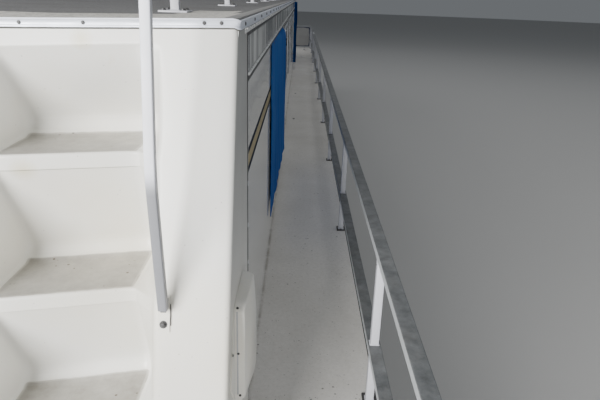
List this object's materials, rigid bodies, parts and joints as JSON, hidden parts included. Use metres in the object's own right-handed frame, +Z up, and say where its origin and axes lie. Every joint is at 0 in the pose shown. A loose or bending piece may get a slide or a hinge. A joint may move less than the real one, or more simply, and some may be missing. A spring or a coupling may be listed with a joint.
{
  "type": "houseboat",
  "caption": "Family houseboat with walk-around side decks, railed roof deck reached by moulded steps, flybridge, open fore cockpit under a canopy, aft cockpit, swim platform and inboard drive.",
  "frame": {"origin": "amidships on the centreline at the waterline, at the waterline mount", "axes": "+X points forward to the bow, +Y to port, +Z up"},
  "size_m": [15.2395, 4.27, 4.017],
  "materials": {
    "hull_gelcoat": "white gelcoat above the waterline, dull antifouling paint below it",
    "deck_nonskid": "moulded non-skid gelcoat, chalky and speckled with dirt",
    "cabin_gelcoat": "glossy white gelcoat with a dark and tan stripe",
    "moulding_gelcoat": "white gelcoat, softly worn, with cream stains",
    "roof_nonskid": "grey non-skid coating with a white margin",
    "tinted_glass": "dark tinted glazing in aluminium frames",
    "door_glass": "tinted glazing in white aluminium frames",
    "rail_aluminium": "white square posts, dull grey flat rails",
    "stainless": "polished stainless steel tube",
    "bronze": "cast bronze, dull",
    "engine_paint": "engine enamel",
    "wheel_plastic": "black moulded rim on steel spokes",
    "upholstery": "cream marine vinyl with piped seams",
    "joinery": "satin teak veneer",
    "blue_canvas": "deep blue acrylic canvas",
    "pale_vinyl": "pale weather cloth bound in dark blue"
  },
  "bodies": {
    "boat": {"hull": "hull_gelcoat", "side_deck_starboard": "deck_nonskid", "side_deck_port": "deck_nonskid", "foredeck": "deck_nonskid", "stern_deck": "deck_nonskid", "cabin_side_starboard": "cabin_gelcoat", "cabin_side_port": "cabin_gelcoat", "bulkhead_aft": "cabin_gelcoat", "bulkhead_front": "cabin_gelcoat", "side_glazing_starboard": "tinted_glass", "side_glazing_port": "tinted_glass", "front_glazing_starboard": "tinted_glass", "front_glazing_port": "tinted_glass", "roof": "roof_nonskid", "canopy_post_starboard": "rail_aluminium", "canopy_post_port": "rail_aluminium", "steps_unit": "moulding_gelcoat", "quarter_unit_port": "moulding_gelcoat", "stair_handrail": "rail_aluminium", "vent_box_starboard": "moulding_gelcoat", "vent_box_port": "moulding_gelcoat", "side_rail_starboard": "rail_aluminium", "side_rail_port": "rail_aluminium", "foredeck_rail_starboard": "rail_aluminium", "foredeck_rail_port": "rail_aluminium", "bow_rail": "rail_aluminium", "stern_rail_starboard": "rail_aluminium", "stern_rail_port": "rail_aluminium", "roof_rail_starboard": "rail_aluminium", "roof_rail_port": "rail_aluminium", "roof_rail_aft": "rail_aluminium", "roof_rail_front": "rail_aluminium", "engine_starboard": "engine_paint", "engine_port": "engine_paint", "swim_platform": "moulding_gelcoat", "flybridge_console": "moulding_gelcoat", "flybridge_screen": "tinted_glass", "flybridge_bench": "moulding_gelcoat", "flybridge_cushion": "upholstery", "helm_console": "joinery", "settee": "upholstery", "galley_unit": "joinery", "window_cover": "blue_canvas", "curtain_starboard": "blue_canvas", "curtain_port": "blue_canvas", "bow_cloth": "pale_vinyl"},
    "upper_wheel": {"flybridge_wheel": "wheel_plastic"},
    "lower_wheel": {"helm_wheel": "wheel_plastic"},
    "rudder_body_starboard": {"rudder_starboard": "bronze"},
    "rudder_body_port": {"rudder_port": "bronze"},
    "propeller_body_starboard": {"propeller_starboard": "bronze"},
    "propeller_body_port": {"propeller_port": "bronze"},
    "aft_door": {"door_aft": "door_glass"},
    "front_door": {"door_front": "door_glass"},
    "starboard_gate": {"gate_starboard": "rail_aluminium"},
    "port_gate": {"gate_port": "rail_aluminium"},
    "transom_gate": {"stern_gate": "moulding_gelcoat"},
    "hatch": {"engine_hatch": "deck_nonskid"},
    "ladder": {"swim_ladder": "stainless"}
  },
  "joints": [
    {"name": "flybridge_wheel_turn", "type": "hinge", "parent": "boat", "child": "upper_wheel", "pos_m": [2.26743, -0.38, 2.7645], "axis": [-0.866, 0, 0.5], "range_deg": [-540, 540]},
    {"name": "helm_wheel_turn", "type": "hinge", "parent": "boat", "child": "lower_wheel", "pos_m": [3.33323, -1.03, 0.9475], "axis": [-0.866, 0, 0.5], "range_deg": [-540, 540]},
    {"name": "rudder_starboard_turn", "type": "hinge", "parent": "boat", "child": "rudder_body_starboard", "pos_m": [-6.6, -0.85, -0.4], "axis": [0, 0, -1], "range_deg": [-35, 35]},
    {"name": "rudder_port_turn", "type": "hinge", "parent": "boat", "child": "rudder_body_port", "pos_m": [-6.6, 0.85, -0.4], "axis": [0, 0, -1], "range_deg": [-35, 35]},
    {"name": "propeller_starboard_spin", "type": "hinge", "parent": "boat", "child": "propeller_body_starboard", "pos_m": [-6.15, -0.85, -0.575], "axis": [0.9877, 0, 0.1564], "continuous": true},
    {"name": "propeller_port_spin", "type": "hinge", "parent": "boat", "child": "propeller_body_port", "pos_m": [-6.15, 0.85, -0.575], "axis": [0.9877, 0, 0.1564], "continuous": true},
    {"name": "aft_door_slide", "type": "slide", "parent": "boat", "child": "aft_door", "axis": [0, 1, 0], "range_m": [0, 0.74]},
    {"name": "front_door_hinge", "type": "hinge", "parent": "boat", "child": "front_door", "pos_m": [3.876, -0.364, 1.2], "axis": [0, 0, -1], "range_deg": [0, 95]},
    {"name": "gate_starboard_hinge", "type": "hinge", "parent": "boat", "child": "starboard_gate", "pos_m": [4.294, -2.1125, 1.3], "axis": [0, 0, 1], "range_deg": [0, 95]},
    {"name": "gate_port_hinge", "type": "hinge", "parent": "boat", "child": "port_gate", "pos_m": [4.294, 2.1125, 1.3], "axis": [0, 0, -1], "range_deg": [0, 95]},
    {"name": "stern_gate_hinge", "type": "hinge", "parent": "boat", "child": "transom_gate", "pos_m": [-7.06, 1.63, 1.1], "axis": [0, 0, 1], "range_deg": [0, 88]},
    {"name": "engine_hatch_hinge", "type": "hinge", "parent": "boat", "child": "hatch", "pos_m": [-5.626, 0, 0.593], "axis": [0, 1, 0], "range_deg": [0, 80]},
    {"name": "swim_ladder_hinge", "type": "hinge", "parent": "boat", "child": "ladder", "pos_m": [-7.607, -0.75, 0.3], "axis": [0, -1, 0], "range_deg": [0, 178]}
  ],
  "couplings": [
    {"joint": "helm_wheel_turn", "follows": "flybridge_wheel_turn", "ratio": 1},
    {"joint": "rudder_starboard_turn", "follows": "flybridge_wheel_turn", "ratio": 0.0648},
    {"joint": "rudder_port_turn", "follows": "flybridge_wheel_turn", "ratio": 0.0648}
  ]
}
